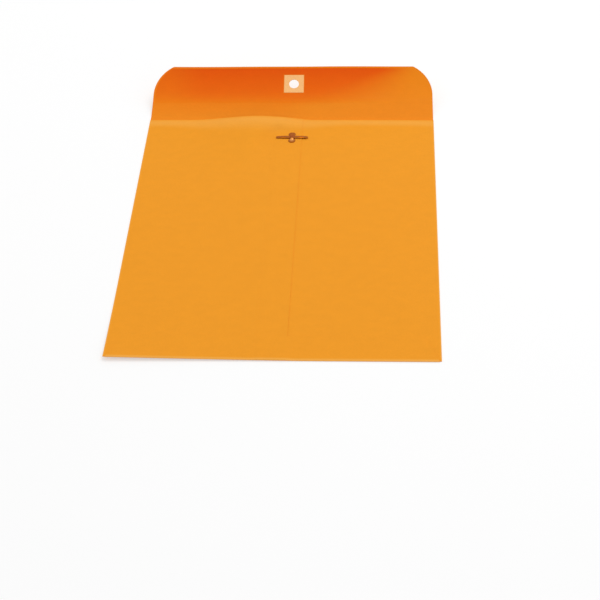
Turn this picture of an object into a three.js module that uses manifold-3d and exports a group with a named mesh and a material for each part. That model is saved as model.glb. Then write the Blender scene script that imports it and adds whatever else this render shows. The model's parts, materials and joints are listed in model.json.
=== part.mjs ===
// A large kraft envelope with a metal clasp, lying on its front with the closing flap raised.
// Millimetres. +X runs across the envelope, +Y up to the flap and +Z away from the table.
// The origin is the middle of the front panel's outer face, which lies on the table.

import * as THREE from "three";
import { mergeVertices } from "three/addons/utils/BufferGeometryUtils.js";
import Module from "manifold-3d";

const wasm = await Module();
wasm.setup();

// Paper and glue
const PAPER = 0.2;
const PLY_GAP = 0.12;
const GLUE_FILM = 0.06;
const RUNNING_GAP = 0.05;

// Pocket, nine inches by twelve
const WIDTH = 228.6;
const HEIGHT = 304.8;
const THROAT = 4.3;
const SLACK = 0.9;

// Centre seam, where the left back panel laps over the right one
const SEAM_LAP = 19;
const SEAM_GLUE_MARGIN = 2;
const SEAM_GLUE_END = 12;
const LAP_CLIMB = 4;

// Bottom flap, folded up and glued over both back panels
const BOTTOM_FLAP_HEIGHT = 25.4;
const BOTTOM_FLAP_INSET = 1.5;
const BOTTOM_FLAP_TAPER = 9;
const BOTTOM_FLAP_CORNER = 4;
const BOTTOM_GLUE_WIDTH = 12;
const BOTTOM_GLUE_MARGIN = 14;

// The mouth's lip, which stands up left of the seam and rolls over at its edge. The rise
// starts deep in the pocket at the left, and short of the clasp at the seam.
const GAPE = 4.7;
const GAPE_X = -36;
const GAPE_HALF_WIDTH = 48;
const GAPE_DEPTH_LEFT = 75;
const GAPE_DEPTH_SEAM = 20;
const GAPE_SEAM_X = -9;
const LIP_ROLL_DEPTH = 10;
const LIP_ROLL = 0.35;
const GAPE_ROLL = 0.3;

// Closing flap, curled about one centre
const FLAP_LENGTH = 48.2;
const FLAP_SIDE_INSET = 0.3;
const FLAP_SIDE_TAPER = 0.6;
const FLAP_CORNER_RADIUS = 28;
const FLAP_CORNER_LENGTH = 25;
const FLAP_BASE_ANGLE = 15;
const FLAP_TIP_ANGLE = 40;
const FLAP_CLOSED_TURN = 152;
const FLAP_FOLD_CLEARANCE = 0.05;
const LIP_CLEARANCE = 0.3;

// Eyelet, its patch and the gum on the flap's inner face. The eyelet and the clasp stand a
// little right of the centre line.
const EYELET_FROM_FOLD = 33.5;
const EYELET_X = 1;
const EYELET_RADIUS = 3.97;
const PATCH_SIDE = 15.9;
const PATCH_THICKNESS = 0.18;
const GUM_THICKNESS = 0.05;
const GUM_START = 15;
const GUM_MARGIN = 1.5;
const GUM_PATCH_GAP = 0.6;
const SKIN_GAP = 0.03;

// Clasp, stamped from dull plated sheet steel
const CLASP_X = 1.8;
const METAL = 0.3;
const BASE_LENGTH = 14.6;
const LOBE_RADIUS = 2.8;
const WAIST_WIDTH = 4.4;
const TANG_WIDTH = 2.6;
const TANG_FOOT = 3.5;
const SLIT_CLEARANCE = 0.25;
const BOSS_WIDTH = 2.2;
const BOSS_LENGTH = 4.6;
const BOSS_HEIGHT = 0.75;
const PRONG_AXIS_X = 2;
const PRONG_LENGTH = 10.7;
const PRONG_ROOT_WIDTH = 3.4;
const PRONG_TIP_WIDTH = 2.9;
const PRONG_DROOP = 0.3;
const KNUCKLE_RADIUS = 0.35;
const BEAD_HEIGHT = 0.25;
const BEAD_WIDTH = 1.5;
const BEAD_START = 1.6;
const BEAD_LENGTH = 6.6;

// Facets
const PANEL_STEP_X = 10;
const PANEL_STEP_Y = 16;
const GAPE_STEP = 8;
const LIP_STEP = 3.4;
const FLAP_STEP = 4;
const FLAP_COLUMNS = 12;
const CREASE_SIDES = 3;

// Places that follow from the sizes above
const plyPitch = PAPER + PLY_GAP;
const foldY = HEIGHT / 2;
const mouthY = foldY - THROAT;
const sideCreaseRadius = (plyPitch + PAPER) / 2;
const sideCreaseX = WIDTH / 2 - sideCreaseRadius;
const bottomCreaseDepth = (3 * plyPitch + PAPER) / 2;
const bottomCreaseY = -HEIGHT / 2 + bottomCreaseDepth;
const panelBottomY = bottomCreaseY + 2 * RUNNING_GAP;
const halfLap = SEAM_LAP / 2;

const radians = THREE.MathUtils.degToRad;
const point = (x, y, z) => new THREE.Vector3(x, y, z);

// Values from one end to the other, in equal steps no longer than the one given
function evenly(from, to, step) {
  const count = Math.max(1, Math.ceil(Math.abs(to - from) / step));
  return Array.from({ length: count + 1 }, (_, i) => from + ((to - from) * i) / count);
}

// One at the middle, falling smoothly to nothing at a distance of one
function bell(distance) {
  return Math.abs(distance) < 1 ? Math.cos((Math.PI / 2) * distance) ** 2 : 0;
}

// Drops the triangles that a merged edge or corner has left without area
function closedSkin(points, index) {
  const raw = new THREE.BufferGeometry()
    .setFromPoints(points)
    .setIndex(index);
  const merged = mergeVertices(raw, 1e-4);
  const kept = [];
  for (let i = 0; i < merged.index.count; i += 3) {
    const [a, b, c] = merged.index.array.slice(i, i + 3);
    if (a !== b && b !== c && c !== a) kept.push(a, b, c);
  }
  merged.setIndex(kept);
  merged.computeVertexNormals();
  return merged;
}

// A thin solid between two faces. posts[i][j] holds the points under and over each other
// at one place, with i counting along +X and j along the sheet's other direction.
function sheet(posts) {
  const rows = posts[0].length;
  const points = posts.flat(2);
  const under = (i, j) => 2 * (i * rows + j);
  const over = (i, j) => under(i, j) + 1;
  const index = [];
  const quad = (a, b, c, d) => index.push(a, b, c, a, c, d);
  const lastColumn = posts.length - 1;
  const lastRow = rows - 1;
  for (let i = 0; i < lastColumn; i++) {
    for (let j = 0; j < lastRow; j++) {
      quad(over(i, j), over(i + 1, j), over(i + 1, j + 1), over(i, j + 1));
      index.push(under(i, j), under(i + 1, j + 1), under(i + 1, j));
      index.push(under(i, j), under(i, j + 1), under(i + 1, j + 1));
    }
    quad(under(i, 0), under(i + 1, 0), over(i + 1, 0), over(i, 0));
    quad(under(i + 1, lastRow), under(i, lastRow), over(i, lastRow), over(i + 1, lastRow));
  }
  for (let j = 0; j < lastRow; j++) {
    quad(under(0, j + 1), under(0, j), over(0, j), over(0, j + 1));
    quad(under(lastColumn, j), under(lastColumn, j + 1), over(lastColumn, j + 1), over(lastColumn, j));
  }
  return closedSkin(points, index);
}

function solidOf(geometry) {
  const bare = geometry.clone();
  bare.deleteAttribute("normal");
  bare.deleteAttribute("uv");
  const merged = mergeVertices(bare, 1e-4);
  return new wasm.Manifold(
    new wasm.Mesh({
      numProp: 3,
      vertProperties: merged.attributes.position.array,
      triVerts: new Uint32Array(merged.index.array),
    }),
  );
}

function geometryOf(solid) {
  const mesh = solid.getMesh();
  const geometry = new THREE.BufferGeometry()
    .setAttribute("position", new THREE.BufferAttribute(mesh.vertProperties, 3))
    .setIndex(new THREE.BufferAttribute(mesh.triVerts, 1));
  geometry.computeVertexNormals();
  return geometry;
}

function cut(geometry, ...tools) {
  return geometryOf(tools.reduce((rest, tool) => rest.subtract(solidOf(tool)), solidOf(geometry)));
}

function join(...geometries) {
  return geometryOf(geometries.map(solidOf).reduce((whole, piece) => whole.add(piece)));
}

function keepInside(geometry, outline) {
  return geometryOf(solidOf(geometry).intersect(solidOf(outline)));
}

// The back of the pocket

// How deep in the pocket the lip's rise starts
function gapeDepth(x) {
  const share = Math.min(1, Math.max(0, (GAPE_SEAM_X - x) / (GAPE_SEAM_X - GAPE_X)));
  return GAPE_DEPTH_SEAM + (GAPE_DEPTH_LEFT - GAPE_DEPTH_SEAM) * share ** 2 * (3 - 2 * share);
}

// Height of the back's inner face over the table
function innerFace(x, y) {
  const depth = Math.max(0, mouthY - y);
  const across = 1 - Math.min(1, Math.abs(x) / sideCreaseX) ** 4;
  const slack = SLACK * (1 - (depth / (mouthY - panelBottomY)) ** 4);
  const rolled = Math.max(0, 1 - depth / LIP_ROLL_DEPTH) ** 2;
  const beyondRoll = Math.max(0, depth - LIP_ROLL_DEPTH);
  const gapeReach = gapeDepth(x) - LIP_ROLL_DEPTH;
  const gape = bell((x - GAPE_X) / GAPE_HALF_WIDTH) * bell(beyondRoll / gapeReach);
  return plyPitch + across * (slack - LIP_ROLL * rolled) + gape * (GAPE - GAPE_ROLL * rolled);
}

// How far the seam's second ply has climbed: none away from the lap, one ply's pitch on it
function lapRise(x) {
  const beyond = Math.max(0, Math.abs(x) - halfLap);
  return plyPitch * Math.max(0, 1 - beyond / LAP_CLIMB);
}

function stackTop(x, y) {
  return innerFace(x, y) + lapRise(x) + PAPER;
}

const lapColumns = [-halfLap, -halfLap + SEAM_GLUE_MARGIN, 0, halfLap - SEAM_GLUE_MARGIN, halfLap];
const seamGlueColumns = lapColumns.slice(1, -1);
const gapeStartY = mouthY - GAPE_DEPTH_LEFT;
const lipStartY = mouthY - GAPE_DEPTH_SEAM;
const panelRows = [
  ...evenly(panelBottomY, gapeStartY, PANEL_STEP_Y).slice(0, -1),
  ...evenly(gapeStartY, lipStartY, GAPE_STEP).slice(0, -1),
  ...evenly(lipStartY, mouthY, LIP_STEP),
];

// The rounded edge where the front panel turns over into a back panel. side is -1 or 1.
function sideCreaseColumns(side) {
  const columns = [];
  for (let k = 0; k <= CREASE_SIDES; k++) {
    const turn = (Math.PI / 2) * (k / CREASE_SIDES);
    const x = side * (sideCreaseX + sideCreaseRadius * Math.cos(turn));
    const reach = sideCreaseRadius * Math.sin(turn);
    columns.push(
      panelRows.map((y) => [
        point(x, y, sideCreaseRadius - reach),
        point(x, y, sideCreaseRadius + reach),
      ]),
    );
  }
  return columns;
}

function plyColumn(x, rise) {
  return panelRows.map((y) => {
    const low = innerFace(x, y) + rise;
    return [point(x, y, low), point(x, y, low + PAPER)];
  });
}

function backPanelLeft() {
  const innerX = -sideCreaseX + RUNNING_GAP;
  const plain = evenly(innerX, -halfLap - LAP_CLIMB, PANEL_STEP_X);
  const columns = [...plain, ...lapColumns].map((x) => plyColumn(x, lapRise(x)));
  return sheet([...sideCreaseColumns(-1), ...columns]);
}

function backPanelRight() {
  const innerX = sideCreaseX - RUNNING_GAP;
  const plain = evenly(halfLap, innerX, PANEL_STEP_X).slice(1);
  const columns = [...lapColumns, ...plain].map((x) => plyColumn(x, 0));
  return sheet([...columns, ...sideCreaseColumns(1).reverse()]);
}

function seamGlue() {
  const rows = panelRows.filter((y) => y < mouthY - SEAM_GLUE_END);
  const gap = (PLY_GAP - GLUE_FILM) / 2;
  return sheet(
    seamGlueColumns.map((x) =>
      rows.map((y) => {
        const low = innerFace(x, y) + PAPER + gap;
        return [point(x, y, low), point(x, y, low + GLUE_FILM)];
      }),
    ),
  );
}

function frontPanel() {
  const halfWidth = sideCreaseX - 2 * RUNNING_GAP;
  const columns = [-halfWidth, halfWidth];
  const rows = [panelBottomY, foldY];
  return sheet(columns.map((x) => rows.map((y) => [point(x, y, 0), point(x, y, PAPER)])));
}

// The bottom flap and its glue

const bottomHalfWidth = WIDTH / 2 - BOTTOM_FLAP_INSET;
const bottomFlapTopY = -HEIGHT / 2 + BOTTOM_FLAP_HEIGHT;

const bottomColumns = [
  ...evenly(-bottomHalfWidth, -halfLap - LAP_CLIMB, PANEL_STEP_X),
  ...lapColumns,
  ...evenly(halfLap + LAP_CLIMB, bottomHalfWidth, PANEL_STEP_X),
];

function bottomFlapOutline() {
  const topHalf = bottomHalfWidth - BOTTOM_FLAP_TAPER;
  const slant = Math.atan2(BOTTOM_FLAP_HEIGHT, BOTTOM_FLAP_TAPER);
  const shape = new THREE.Shape();
  shape.moveTo(-WIDTH, -HEIGHT / 2 - BOTTOM_FLAP_HEIGHT);
  shape.lineTo(WIDTH, -HEIGHT / 2 - BOTTOM_FLAP_HEIGHT);
  shape.lineTo(bottomHalfWidth, -HEIGHT / 2);
  const cornerX = topHalf + BOTTOM_FLAP_CORNER * Math.cos(slant);
  const cornerY = bottomFlapTopY - BOTTOM_FLAP_CORNER * Math.sin(slant);
  shape.lineTo(cornerX, cornerY);
  shape.quadraticCurveTo(topHalf, bottomFlapTopY, topHalf - BOTTOM_FLAP_CORNER, bottomFlapTopY);
  shape.lineTo(-topHalf + BOTTOM_FLAP_CORNER, bottomFlapTopY);
  shape.quadraticCurveTo(-topHalf, bottomFlapTopY, -cornerX, cornerY);
  shape.lineTo(-bottomHalfWidth, -HEIGHT / 2);
  const depth = 4 * (GAPE + SLACK);
  const prism = new THREE.ExtrudeGeometry(shape, { depth, bevelEnabled: false, curveSegments: 4 });
  return prism.translate(0, 0, -depth / 2);
}

function bottomFlap() {
  const plyRows = evenly(bottomCreaseY + RUNNING_GAP, bottomFlapTopY, BOTTOM_FLAP_HEIGHT / 3);
  const columns = bottomColumns.map((x) => {
    const halfHeight = (stackTop(x, panelBottomY) + plyPitch) / 2;
    const posts = [];
    for (let k = 0; k <= CREASE_SIDES; k++) {
      const turn = (Math.PI / 2) * (k / CREASE_SIDES);
      const y = bottomCreaseY - bottomCreaseDepth * Math.cos(turn);
      const reach = halfHeight * Math.sin(turn);
      posts.push([point(x, y, halfHeight - reach), point(x, y, halfHeight + reach)]);
    }
    for (const y of plyRows) {
      const low = stackTop(x, Math.max(y, panelBottomY)) + PLY_GAP;
      posts.push([point(x, y, low), point(x, y, low + PAPER)]);
    }
    return posts;
  });
  return keepInside(sheet(columns), bottomFlapOutline());
}

function bottomGlue() {
  const gap = (PLY_GAP - GLUE_FILM) / 2;
  const middleY = (bottomCreaseY + bottomFlapTopY) / 2;
  const rows = [middleY - BOTTOM_GLUE_WIDTH / 2, middleY + BOTTOM_GLUE_WIDTH / 2];
  const end = bottomHalfWidth - BOTTOM_GLUE_MARGIN;
  const inner = bottomColumns.filter((x) => Math.abs(x) < end);
  return sheet(
    [-end, ...inner, end].map((x) =>
      rows.map((y) => {
        const low = stackTop(x, y) + gap;
        return [point(x, y, low), point(x, y, low + GLUE_FILM)];
      }),
    ),
  );
}

// The closing flap. It turns about an axis half way up the stack that it closes over, so that
// it lies flat on the table when it is opened right out and clears the lip when it is shut.

const lipTop = innerFace(GAPE_X, mouthY) + PAPER;
const foldAxisZ = (lipTop + LIP_CLEARANCE) / 2 - PAPER;
const baseTurn = radians(FLAP_BASE_ANGLE);
const curlRadius = FLAP_LENGTH / radians(FLAP_TIP_ANGLE - FLAP_BASE_ANGLE);

// A place turned about the fold axis, given as distances from it when the flap lies flat
function aboutFold(y, z, turn) {
  return {
    y: foldY + y * Math.cos(turn) - z * Math.sin(turn),
    z: foldAxisZ + y * Math.sin(turn) + z * Math.cos(turn),
  };
}

const flapBase = aboutFold(FLAP_FOLD_CLEARANCE, -foldAxisZ, baseTurn);

// A place on the flap: x across it, s along it from its base and n in from its outer face
function onFlap(x, s, n) {
  const angle = baseTurn + s / curlRadius;
  const reach = curlRadius - n;
  return point(
    x,
    flapBase.y + reach * Math.sin(angle) - curlRadius * Math.sin(baseTurn),
    flapBase.z - reach * Math.cos(angle) + curlRadius * Math.cos(baseTurn),
  );
}

function flapAngleAt(s) {
  return baseTurn + s / curlRadius;
}

const flapRootHalfWidth = WIDTH / 2 - FLAP_SIDE_INSET;
const flapCornerStart = FLAP_LENGTH - FLAP_CORNER_LENGTH;

// Half the flap's width at a distance from its base: a slight taper, then a round corner
// that meets the straight top edge at a blunt angle
function flapHalfWidth(s) {
  const side = flapRootHalfWidth - (FLAP_SIDE_TAPER * s) / FLAP_LENGTH;
  const past = Math.max(0, s - flapCornerStart);
  const drop = FLAP_CORNER_RADIUS - Math.sqrt(FLAP_CORNER_RADIUS ** 2 - past ** 2);
  return side - drop;
}

function flapLayer(rows, inset, low, high) {
  const columns = evenly(-1, 1, 2 / FLAP_COLUMNS);
  return sheet(
    columns.map((u) =>
      rows.map((s) => {
        const x = u * (flapHalfWidth(s) - inset);
        return [onFlap(x, s, low), onFlap(x, s, high)];
      }),
    ),
  );
}

const eyeletS = EYELET_FROM_FOLD - (flapBase.y - foldY);
const eyeletPlace = onFlap(EYELET_X, eyeletS, PAPER / 2);

// Puts a tool's own middle at the eyelet's place, with its +Z along the flap's normal there
function standAtEyelet(tool) {
  const { x, y, z } = eyeletPlace;
  return tool.rotateX(flapAngleAt(eyeletS)).translate(x, y, z);
}

function eyeletDrill() {
  const bore = new THREE.CylinderGeometry(EYELET_RADIUS, EYELET_RADIUS, PATCH_SIDE, 32);
  return standAtEyelet(bore.rotateX(Math.PI / 2));
}

function closureFlap() {
  const rows = [
    ...evenly(0, flapCornerStart, FLAP_STEP).slice(0, -1),
    ...evenly(flapCornerStart, FLAP_LENGTH, FLAP_STEP / 2),
  ];
  return cut(flapLayer(rows, 0, 0, PAPER), eyeletDrill());
}

function sealGum() {
  const low = PAPER + SKIN_GAP;
  const rows = [
    ...evenly(GUM_START, flapCornerStart, FLAP_STEP).slice(0, -1),
    ...evenly(flapCornerStart, FLAP_LENGTH - GUM_MARGIN, FLAP_STEP / 2),
  ];
  const side = PATCH_SIDE + 2 * GUM_PATCH_GAP;
  const window = standAtEyelet(new THREE.BoxGeometry(side, side, PATCH_SIDE));
  return cut(flapLayer(rows, GUM_MARGIN, low, low + GUM_THICKNESS), window);
}

function eyeletPatch() {
  const low = PAPER + SKIN_GAP;
  const columns = [EYELET_X - PATCH_SIDE / 2, EYELET_X + PATCH_SIDE / 2];
  const rows = evenly(eyeletS - PATCH_SIDE / 2, eyeletS + PATCH_SIDE / 2, FLAP_STEP);
  const square = sheet(
    columns.map((x) =>
      rows.map((s) => [onFlap(x, s, low), onFlap(x, s, low + PATCH_THICKNESS)]),
    ),
  );
  return cut(square, eyeletDrill());
}

// The clasp stands where the eyelet comes down when the flap is shut

function shutPlace(place) {
  const back = -baseTurn;
  const y = place.y - foldY;
  const z = place.z - foldAxisZ;
  const flatY = y * Math.cos(back) - z * Math.sin(back);
  const flatZ = y * Math.sin(back) + z * Math.cos(back);
  return aboutFold(flatY, flatZ, baseTurn + radians(FLAP_CLOSED_TURN));
}

const claspY = shutPlace(eyeletPlace).y;
const claspPaperTop = stackTop(CLASP_X, claspY);
const claspPaperUnder = innerFace(CLASP_X, claspY);
const plateTop = claspPaperTop + RUNNING_GAP + METAL;
const prongAxisZ = plateTop + RUNNING_GAP + KNUCKLE_RADIUS;
const tangY = BASE_LENGTH / 2;

// The slit that a tang passes through, in both plies of the seam. end is -1 or 1.
function tangSlit(end) {
  const width = TANG_WIDTH + 2 * SLIT_CLEARANCE;
  const depth = METAL + 2 * SLIT_CLEARANCE;
  const height = 4 * (plyPitch + METAL);
  const slit = new THREE.BoxGeometry(width, depth, height);
  return slit.translate(CLASP_X, claspY + end * (tangY - METAL / 2), claspPaperTop);
}

// A tang goes down through the paper and is clinched under it, towards the clasp's middle
function tang(end) {
  const footTop = claspPaperUnder - RUNNING_GAP;
  const footBottom = footTop - METAL;
  const profile = new THREE.Shape();
  profile.moveTo(tangY, plateTop);
  profile.lineTo(tangY - METAL, plateTop);
  profile.lineTo(tangY - METAL, footTop);
  profile.lineTo(tangY - TANG_FOOT, footTop);
  profile.lineTo(tangY - TANG_FOOT, footBottom);
  profile.lineTo(tangY, footBottom);
  profile.closePath();
  const strip = new THREE.ExtrudeGeometry(profile, { depth: TANG_WIDTH, bevelEnabled: false });
  strip.translate(0, 0, -TANG_WIDTH / 2);
  strip.rotateX(Math.PI / 2).rotateZ(Math.PI / 2);
  if (end < 0) strip.rotateZ(Math.PI);
  return strip;
}

// The plate's outline: a round lobe at each end, over a tang, and straight sides between
function plateOutline() {
  const lobeY = BASE_LENGTH / 2 - LOBE_RADIUS;
  const waist = WAIST_WIDTH / 2;
  const meet = Math.acos(waist / LOBE_RADIUS);
  const shape = new THREE.Shape();
  shape.moveTo(waist, -lobeY + LOBE_RADIUS * Math.sin(meet));
  shape.lineTo(waist, lobeY - LOBE_RADIUS * Math.sin(meet));
  shape.absarc(0, lobeY, LOBE_RADIUS, -meet, Math.PI + meet);
  shape.lineTo(-waist, -lobeY + LOBE_RADIUS * Math.sin(meet));
  shape.absarc(0, -lobeY, LOBE_RADIUS, Math.PI - meet, 2 * Math.PI + meet);
  return shape;
}

function claspBase() {
  const flat = { depth: METAL, bevelEnabled: false, curveSegments: 12 };
  const plate = new THREE.ExtrudeGeometry(plateOutline(), flat);
  plate.translate(0, 0, plateTop - METAL);
  const boss = new THREE.SphereGeometry(1, 16, 10);
  boss.scale(BOSS_WIDTH / 2, BOSS_LENGTH / 2, BOSS_HEIGHT);
  boss.translate(0, 0, plateTop - METAL / 2);
  const crown = keepInside(
    boss,
    new THREE.BoxGeometry(BASE_LENGTH, BASE_LENGTH, BASE_LENGTH).translate(
      0,
      0,
      plateTop - METAL / 2 + BASE_LENGTH / 2,
    ),
  );
  return join(plate, crown, tang(-1), tang(1));
}

// A prong as it lies at rest, pointing along +X from its own axis, with a pressed bead
function prong() {
  const tipRadius = PRONG_TIP_WIDTH / 2;
  const tipStart = PRONG_LENGTH - tipRadius;
  const halfWidth = (x) => {
    const side = (PRONG_ROOT_WIDTH + ((PRONG_TIP_WIDTH - PRONG_ROOT_WIDTH) * x) / tipStart) / 2;
    const past = (x - tipStart) / tipRadius;
    return past > 0 ? tipRadius * Math.sqrt(1 - past ** 2) : side;
  };
  const tipAngles = [15, 30, 45, 60, 75];
  const along = [
    ...evenly(0, BEAD_START, BEAD_START).slice(0, -1),
    ...evenly(BEAD_START, BEAD_START + BEAD_LENGTH, BEAD_LENGTH / 6),
    ...[tipStart],
    ...tipAngles.map((angle) => tipStart + tipRadius * Math.sin(radians(angle))),
  ];
  const across = [-1, -BEAD_WIDTH / PRONG_ROOT_WIDTH, 0, BEAD_WIDTH / PRONG_ROOT_WIDTH, 1];
  const beadMiddle = BEAD_START + BEAD_LENGTH / 2;
  const posts = along.map((x) =>
    across.map((v) => {
      const y = v * halfWidth(x);
      const bead = v === 0 ? BEAD_HEIGHT * Math.sqrt(bell((x - beadMiddle) / (BEAD_LENGTH / 2))) : 0;
      const middle = bead - PRONG_DROOP * (x / PRONG_LENGTH);
      return [point(x, y, middle - METAL / 2), point(x, y, middle + METAL / 2)];
    }),
  );
  const knuckle = new THREE.CylinderGeometry(KNUCKLE_RADIUS, KNUCKLE_RADIUS, PRONG_ROOT_WIDTH, 16);
  return join(sheet(posts), knuckle);
}

// Materials

const finish = (color, roughness, metalness) =>
  new THREE.MeshStandardMaterial({ color, roughness, metalness, flatShading: true });

const kraft = finish(0xf09b2e, 0.75, 0);
const kraftInside = finish(0xe8842a, 0.7, 0);
const gum = finish(0xe4661c, 0.35, 0);
const manila = finish(0xf3d09a, 0.8, 0);
const glue = finish(0xe9d9b4, 0.5, 0);
const platedSteel = finish(0x80583a, 0.4, 1);

function piece(name, geometry, material) {
  const mesh = new THREE.Mesh(geometry, material);
  mesh.name = name;
  return mesh;
}

// Assembly

const envelope = new THREE.Group();
const slits = [tangSlit(-1), tangSlit(1)];
envelope.add(
  piece("front_panel", frontPanel(), kraft),
  piece("back_panel_left", cut(backPanelLeft(), ...slits), kraft),
  piece("back_panel_right", cut(backPanelRight(), ...slits), kraft),
  piece("seam_glue", cut(seamGlue(), ...slits), glue),
  piece("bottom_flap", bottomFlap(), kraft),
  piece("bottom_glue", bottomGlue(), glue),
);

const flap = new THREE.Group();
flap.add(
  piece("closure_flap", closureFlap(), kraftInside),
  piece("seal_gum", sealGum(), gum),
  piece("eyelet_patch", eyeletPatch(), manila),
);

const clasp = new THREE.Group();
clasp.position.set(CLASP_X, claspY, 0);
clasp.add(piece("clasp_base", claspBase(), platedSteel));
for (const [name, side] of [
  ["clasp_prong_left", -1],
  ["clasp_prong_right", 1],
]) {
  const mesh = piece(name, prong(), platedSteel);
  mesh.position.set(side * PRONG_AXIS_X, 0, prongAxisZ);
  mesh.rotation.z = side < 0 ? Math.PI : 0;
  clasp.add(mesh);
}

envelope.add(flap, clasp);

export default envelope;
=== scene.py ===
# The looks of a kraft clasp envelope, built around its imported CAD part.
# Lengths are in millimetres until a mesh is made, and Blender's are in metres.

import json
import math

import bmesh
import bpy
import numpy as np
from mathutils import Matrix, Vector


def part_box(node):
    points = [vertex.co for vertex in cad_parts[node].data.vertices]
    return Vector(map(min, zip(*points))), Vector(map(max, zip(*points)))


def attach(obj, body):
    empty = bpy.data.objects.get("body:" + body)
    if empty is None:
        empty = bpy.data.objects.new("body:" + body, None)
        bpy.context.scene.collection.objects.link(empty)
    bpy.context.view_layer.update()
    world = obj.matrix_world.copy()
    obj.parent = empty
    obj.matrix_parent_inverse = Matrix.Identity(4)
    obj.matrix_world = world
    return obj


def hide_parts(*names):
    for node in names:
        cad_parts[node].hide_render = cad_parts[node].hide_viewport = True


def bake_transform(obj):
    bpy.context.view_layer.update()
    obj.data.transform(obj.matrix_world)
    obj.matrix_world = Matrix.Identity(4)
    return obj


MM = 0.001
BOTH_SIDES = np.array([-1, 1])

# Paper and glue
PAPER = 0.2
PLY_GAP = 0.12
PITCH = PAPER + PLY_GAP
RUNNING_GAP = 0.05
GLUE_FILM = 0.06
GLUE_GAP = (PLY_GAP - GLUE_FILM) / 2

# Pocket
WIDTH = 228.6
HEIGHT = 304.8
THROAT = 4.3
SLACK = 0.9
FOLD_Y = HEIGHT / 2
MOUTH_Y = FOLD_Y - THROAT

# Creases
SIDE_CREASE_RADIUS = (PITCH + PAPER) / 2
SIDE_CREASE_X = WIDTH / 2 - SIDE_CREASE_RADIUS
BOTTOM_CREASE_DEPTH = (3 * PITCH + PAPER) / 2
BOTTOM_CREASE_Y = -HEIGHT / 2 + BOTTOM_CREASE_DEPTH
PANEL_BOTTOM_Y = BOTTOM_CREASE_Y + 2 * RUNNING_GAP
FRONT_CLEARANCE = 0.02
FRONT_HALF_WIDTH = SIDE_CREASE_X - FRONT_CLEARANCE

# Centre seam. The paper over the lap starts to climb at CLIMB_FOOT from the middle.
HALF_LAP = 9.5
LAP_CLIMB = 4
CLIMB_FOOT = HALF_LAP + LAP_CLIMB
SEAM_GLUE_HALF_WIDTH = 7.5
SEAM_GLUE_END = 12

# Bottom flap. Its round corners stop a little short of a quarter turn.
BOTTOM_FLAP_HEIGHT = 25.4
BOTTOM_FLAP_INSET = 1.5
BOTTOM_FLAP_TAPER = 9
BOTTOM_FLAP_CORNER = 4
BOTTOM_CORNER_SHARE = 0.97
BOTTOM_GLUE_HALF_WIDTH = 98.5
BOTTOM_GLUE_HALF_HEIGHT = 6

# The mouth's lip, raised left of the seam and rolled over at its edge. The rise starts
# deeper in the pocket at the left than at the seam.
GAPE = 4.4
GAPE_X = -26
GAPE_REACH_LEFT = 55
GAPE_REACH_RIGHT = 47
GAPE_DEEP_X = -36
GAPE_DEPTH_LEFT = 75
GAPE_SEAM_X = -9
GAPE_DEPTH_SEAM = 20
GAPE_ROLL = 0.5
LIP_ROLL = 0.6
LIP_ROLL_DEPTH = 10

# Closing flap, curled about one centre
FLAP_LENGTH = 48.2
FLAP_SIDE_INSET = 0.3
FLAP_SIDE_TAPER = 0.6
FLAP_ROOT_HALF_WIDTH = WIDTH / 2 - FLAP_SIDE_INSET
FLAP_KEPT_HALF_WIDTH = 12
FOLD_CLEARANCE = 0.05
CORNER_RADIUS = 28
CORNER_LENGTH = 25
CORNER_START = FLAP_LENGTH - CORNER_LENGTH
BASE_ANGLE = math.radians(15)
TIP_ANGLE = math.radians(40)
CURL_RADIUS = FLAP_LENGTH / (TIP_ANGLE - BASE_ANGLE)

# Eyelet, its patch and the gum on the flap's inner face
EYELET_FROM_FOLD = 33.5
EYELET_RADIUS = 3.97
PATCH_HALF = 7.95
PATCH_THICKNESS = 0.18
SKIN_GAP = 0.015
GUM_THICKNESS = 0.05
GUM_START = 15
GUM_MARGIN = 1.5
GUM_PATCH_GAP = 0.6
GUM_WINDOW_HALF = PATCH_HALF + GUM_PATCH_GAP

# The gum's edge wanders in two waves, and its film starts thin
GUM_UNEVEN = 0.25
GUM_UNEVEN_REACH = 3
GUM_LONG_WAVE = 7
GUM_SHORT_WAVE = 2.7
GUM_SHORT_WAVE_SHIFT = 1
GUM_THIN_SHARE = 0.1
GUM_THIN_REACH = 2

# Clasp's plate, its tangs and its boss, with a painted highlight on the plating
METAL = 0.3
BASE_LENGTH = 14.6
LOBE_RADIUS = 2.8
WAIST_WIDTH = 4.4
TANG_WIDTH = 2.6
TANG_FOOT = 3.5
TANG_BEND = 0.3
SLIT_CLEARANCE = 0.25
BOSS_WIDTH = 2.2
BOSS_LENGTH = 6.4
BOSS_HEIGHT = 0.75
BOSS_SPREAD = 1.15
BOSS_STEEPNESS = 1.2
HIGHLIGHT_Y = -3.3
HIGHLIGHT_WIDTH = 5.6
HIGHLIGHT_LENGTH = 6

# Clasp's prongs
PRONG_LENGTH = 10.7
PRONG_ROOT_WIDTH = 3.4
PRONG_TIP_WIDTH = 2.9
PRONG_DROOP = 0.3
KNUCKLE_RADIUS = 0.35
BEAD_HEIGHT = 0.28
BEAD_WIDTH = 2.9
BEAD_START = 1.6
BEAD_LENGTH = 6.6

# The metal's rounded edge, as a share of the half width
EDGE_START = 0.91
EDGE_WIDTH = 0.09

# Gentle waves of the back's paper, of two lengths, and how they fade out towards the seam,
# the side creases, the bottom and the mouth
BODY_WAVE = 0.22
LONG_WAVE_X = 31
LONG_WAVE_Y = 57
SHORT_WAVE_X = 19
SHORT_WAVE_Y = 43
SHORT_WAVE_SHARE = 0.6
SHORT_WAVE_SHIFT = 1.3
STILL_BY_SEAM = 15
SEAM_FADE = 25
SIDE_FADE = 22
STILL_BY_BOTTOM = 28
BOTTOM_FADE = 40
MOUTH_FADE = 30

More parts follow.
